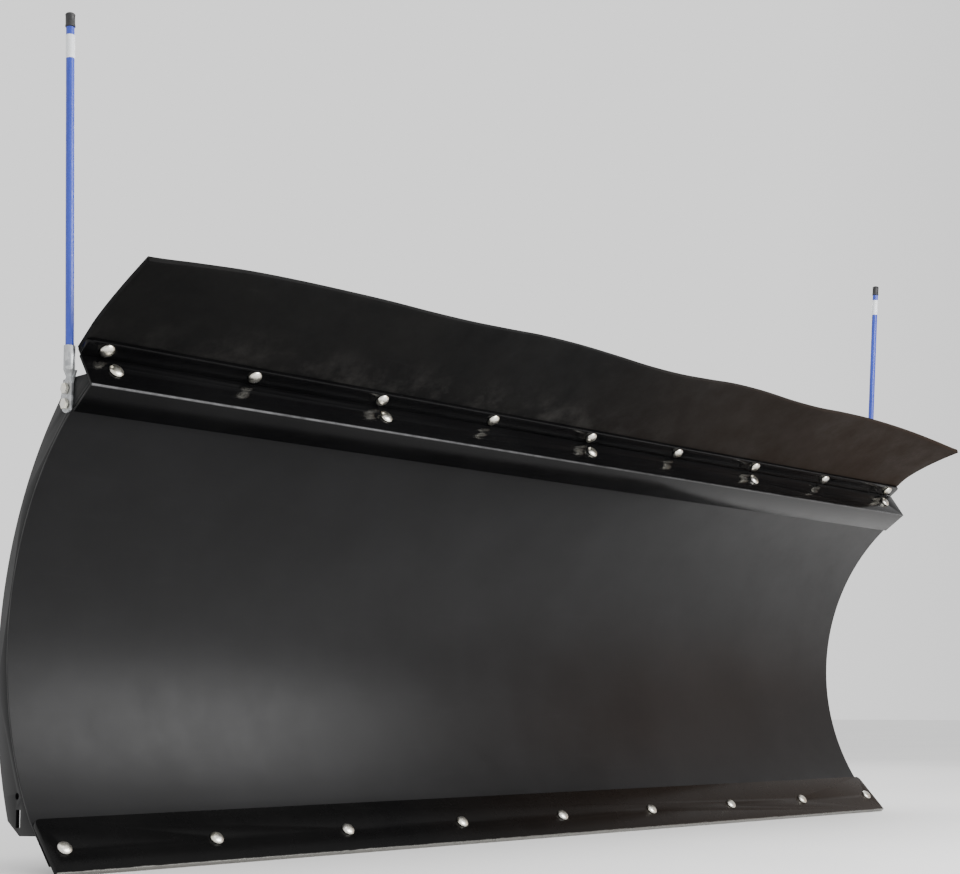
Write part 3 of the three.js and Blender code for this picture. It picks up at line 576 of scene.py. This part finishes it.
def add_marker(side):
    """A rod with its white band and its cap, and the two bolts of its tab."""
    node = "marker_rod_" + side
    body = "marker_" + side
    vertices = [v.co for v in frame["nodes"][node].data.vertices]
    low, high = min(v.z for v in vertices), max(v.z for v in vertices)
    ends = []
    for level in (low, high):
        ring = [v for v in vertices if abs(v.z - level) < 0.0012]
        ends.append(sum(ring, Vector()) / len(ring))
    way = (ends[1] - ends[0]).normalized()
    joint = Vector(JOINTS[f"marker_{side}_flex"]["pos_m"])
    foot = joint - way * 0.004
    top = ends[1]
    length = (top - foot).length

    bm = bmesh.new()
    steps = 48
    points = [foot + way * length * i / steps for i in range(steps + 1)]
    tube(bm, points, [ROD_RADIUS] * len(points), 22)
    rod = make("finished_" + node, to_mesh(bm, node), BLUE, None, [node])
    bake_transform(rod)

    bm = bmesh.new()
    band_top = length - BAND[1]
    band_low = band_top - BAND[0]
    lathe(bm, [(ROD_RADIUS + 0.00005, band_low), (ROD_RADIUS + 0.0003, band_low + 0.0002),
               (ROD_RADIUS + 0.0003, band_top - 0.0002), (ROD_RADIUS + 0.00005, band_top)],
          28, toward(foot, way))
    make(f"reflective_band_{side}", to_mesh(bm, "band_" + side), TAPE, body)

    bm = bmesh.new()
    cap_vertices = frame["nodes"]["marker_cap_" + side].data.vertices
    cap_heights = [(v.co - foot).dot(way) for v in cap_vertices]
    cap_low, cap_top = min(cap_heights), max(cap_heights)
    crown = [(CAP_RADIUS * math.cos(t), cap_top - CAP_RADIUS * 0.55 * (1 - math.sin(t)))
             for t in (math.pi / 2 * k / 6 for k in range(6))]
    lathe(bm, [(0, cap_low), (CAP_RADIUS * 0.9, cap_low), (CAP_RADIUS, cap_low + 0.0006),
               (CAP_RADIUS, cap_low + 0.0022), (CAP_RADIUS * 0.94, cap_low + 0.0028),
               (CAP_RADIUS * 0.94, cap_top - CAP_RADIUS * 0.7), *crown, (0, cap_top)],
          28, toward(foot, way))
    make("finished_marker_cap_" + side, to_mesh(bm, "cap_" + side), VINYL, body,
         ["marker_cap_" + side])

    for level in ("upper", "lower"):
        add_tab_bolt(f"marker_bolt_{side}_{level}")


def add_tab_bolt(node):
    """A hex bolt along X, with its nut on the far side of the rib."""
    low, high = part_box(node)
    way = Vector((1, 0, 0))
    start = Vector((low.x, (low.y + high.y) / 2, (low.z + high.z) / 2))
    length = high.x - low.x
    head, nut, tail, flats, shank = 0.0042, 0.0055, 0.002, 0.0111, 0.003175
    bm = bmesh.new()
    place = toward(start, way)
    hex_nut(bm, place, flats, head)
    nut_start = length - tail - nut
    lathe(bm, [(0, head * 0.5), (shank, head * 0.5), (shank, nut_start + nut),
               *threads(nut_start + nut + 0.0001, length - 0.0005, shank, 0.0011),
               (shank * 0.8, length), (0, length)], 18, place)
    hex_nut(bm, place @ Matrix.Translation((0, 0, nut_start)), flats, nut)
    make("finished_" + node, to_mesh(bm, node), ZINC, "blade", [node])


for side in ("left", "right"):
    add_marker(side)

# ------------------------------------------------------------------ lynch pins of the skid shoes


def add_lynch_pin(side):
    """A pin with a round head at one end, and its wire ring folded down beside the post."""
    node = "skid_pin_" + side
    low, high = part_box(node)
    middle = (low + high) / 2
    radius = (high.z - low.z) / 2
    half = (high.x - low.x) / 2
    bm = bmesh.new()
    way = Vector((1, 0, 0))
    lathe(bm, [(0, -half), (radius * 0.75, -half), (radius, -half + 0.001), (radius, half - 0.006),
               (radius * 1.35, half - 0.0055), (radius * 1.35, half - 0.0008),
               (radius * 1.2, half), (0, half)], 24, toward(middle, way))
    ring_radius, wire = 0.0145, 0.0013
    centre = middle + Vector((half - 0.003, 0, ring_radius * 0.92))
    points = [centre + Vector((0, math.sin(t) * ring_radius, -math.cos(t) * ring_radius))
              for t in (math.radians(12) + math.radians(336) * k / 40 for k in range(41))]
    tube(bm, points, [wire] * len(points), 10)
    make("lynch_pin_" + side, to_mesh(bm, node), ZINC, "skid_" + side, [node])


for side in ("left", "right"):
    add_lynch_pin(side)

# ------------------------------------------------------------------ weld beads


def add_weld(name, start, end, radius=0.0026):
    """A rippled bead along a straight joint."""
    length = (end - start).length
    count = max(6, int(length / 0.0011))
    points, radii = [], []
    for i in range(count + 1):
        t = i / count
        points.append(start.lerp(end, t))
        wander = noise.noise(Vector((i * 0.21, start.x * 40, start.z * 40)))
        ripple = 0.12 * math.sin(i * 1.6) + 0.16 * wander
        fade = min(1.0, 0.55 + 4 * min(t, 1 - t))
        radii.append(radius * fade * (1 + ripple))
    bm = bmesh.new()
    tube(bm, points, radii, 8)
    make(name, to_mesh(bm, name, 60), PAINT, "blade")


RIB_WELD_MIDDLES = (-8, 14, 34)  # degrees round the face
RIB_WELD_HALF = 4.5
WELD_STAND_OFF = 0.0008  # from the plate's side to the bead's middle


def add_rib_welds(node, sides):
    """Short beads where a rib stands on the back of the sheet."""
    for k, middle in enumerate(RIB_WELD_MIDDLES):
        arc = [FACE_CENTRE + direction(a) * (FACE_RADIUS + SHEET_THICKNESS + 0.0012)
               for a in (middle - RIB_WELD_HALF, middle + RIB_WELD_HALF)]
        for x, tag in sides:
            start, end = (Vector((x, p.y, p.z)) for p in arc)
            add_weld(f"weld_{node}_{k}_{tag}", start, end, 0.0022)


for node in ("rib_left_end", "rib_left_inner", "rib_right_inner", "rib_right_end"):
    low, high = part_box(node)
    inner = [(high.x + WELD_STAND_OFF, "a"), (low.x - WELD_STAND_OFF, "b")]
    if node == "rib_left_end":
        inner = inner[:1]
    if node == "rib_right_end":
        inner = inner[1:]
    add_rib_welds(node, inner)

RAIL_BACK = Vector((0, 0.124347, 0.111623))  # middle of the lower rail's rear face
RAIL_OUT, RAIL_UP = direction(-12.7), direction(77.3)
CLEVIS_WELD_SPAN = (0.0175, 0.004)  # from the rail's middle, above and below it


def add_clevis_welds(side):
    """Two beads down the side of each clevis, where it stands on the lower rail."""
    low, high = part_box("pivot_clevis_" + side)
    foot = RAIL_BACK + RAIL_OUT * WELD_STAND_OFF
    for tag, x in (("a", low.x), ("b", high.x)):
        for level, way in (("low", -1), ("high", 1)):
            start, end = (foot + RAIL_UP * (way * reach) for reach in CLEVIS_WELD_SPAN)
            add_weld(f"weld_clevis_{side}_{tag}_{level}", Vector((x, *start[1:])),
                     Vector((x, *end[1:])), 0.0024)


for side in ("left", "right"):
    add_clevis_welds(side)

# ------------------------------------------------------------------ stage, light and camera


def stage_material():
    s = Shader("pale_floor")
    s.colour(s.mix(s.remap(s.noise(1.2, 3, 0.5), 0.3, 0.7), (0.8, 0.8, 0.8), (0.84, 0.84, 0.835)))
    s.roughness(s.remap(s.noise(3, 3, 0.5), 0.3, 0.7, 0.75, 0.9))
    return s.material


FLOOR_REACH = 30
FLOOR_SIGNS = ((-1, -1), (1, -1), (1, 1), (-1, 1))
floor_corners = [(x * FLOOR_REACH, y * FLOOR_REACH, 0) for x, y in FLOOR_SIGNS]
floor_mesh = bpy.data.meshes.new("floor")
floor_mesh.from_pydata(floor_corners, [], [(0, 1, 2, 3)])
floor = bpy.data.objects.new("floor", floor_mesh)
floor_mesh.materials.append(stage_material())
bpy.context.scene.collection.objects.link(floor)

DARK_SIDE = (0.82, -0.57, 0)
SKY_STRENGTH, DARK_SIDE_STRENGTH = 1.3, 0.45


def add_sky():
    """A white studio, darker to the front right, where the blade's right end mirrors it."""
    world = bpy.data.worlds.new("studio")
    bpy.context.scene.world = world
    world.use_nodes = True
    tree = world.node_tree
    background = tree.nodes["Background"]
    background.inputs["Color"].default_value = (1, 1, 1, 1)
    toward_dark = tree.nodes.new("ShaderNodeVectorMath")
    toward_dark.operation = "DOT_PRODUCT"
    toward_dark.inputs[1].default_value = DARK_SIDE
    strength = tree.nodes.new("ShaderNodeMapRange")
    limits = (("From Min", 0.35), ("From Max", 0.9),
              ("To Min", SKY_STRENGTH), ("To Max", DARK_SIDE_STRENGTH))
    for socket, value in limits:
        strength.inputs[socket].default_value = value
    sky_way = tree.nodes.new("ShaderNodeTexCoord").outputs["Generated"]
    tree.links.new(sky_way, toward_dark.inputs[0])
    tree.links.new(toward_dark.outputs["Value"], strength.inputs["Value"])
    tree.links.new(strength.outputs["Result"], background.inputs["Strength"])


add_sky()


def add_light(name, place, target, size, power, colour=(1, 1, 1)):
    """A rectangular lamp, sized in metres and powered in watts, that faces a target."""
    light = bpy.data.lights.new(name, "AREA")
    light.shape = "RECTANGLE"
    light.size, light.size_y = size
    light.energy = power
    light.color = colour
    obj = bpy.data.objects.new(name, light)
    obj.location = place
    obj.rotation_euler = (Vector(target) - Vector(place)).to_track_quat("-Z", "Y").to_euler()
    bpy.context.scene.collection.objects.link(obj)


add_light("key", (0.2, -1.85, 1.1), (-0.8, 0.05, 0.17), (1.5, 1.2), 68)
add_light("top", (0.2, -0.4, 3.2), (0, 0, 0.3), (3.0, 1.5), 30)
add_light("rim", (2.4, 1.8, 2.0), (0, 0, 0.4), (1.2, 1.2), 25)
add_light("warm", (2.9, -1.5, 0.85), (0.65, 0.05, 0.35), (1.5, 1.8), 5, (1.0, 0.55, 0.32))

CAMERA_PLACE = (-1.7857, -1.6237, 0.1784)
CAMERA_HEADING, CAMERA_RISE = 45.24, 4.34  # degrees from +Y towards +X, and above the level

camera_data = bpy.data.cameras.new("camera")
camera = bpy.data.objects.new("camera", camera_data)
bpy.context.scene.collection.objects.link(camera)
bpy.context.scene.camera = camera
camera.location = CAMERA_PLACE
camera.rotation_euler = (math.radians(90 + CAMERA_RISE), 0, -math.radians(CAMERA_HEADING))
camera_data.sensor_width = 36
camera_data.lens = 61.69
camera_data.shift_y = 0.156
camera_data.dof.use_dof = False
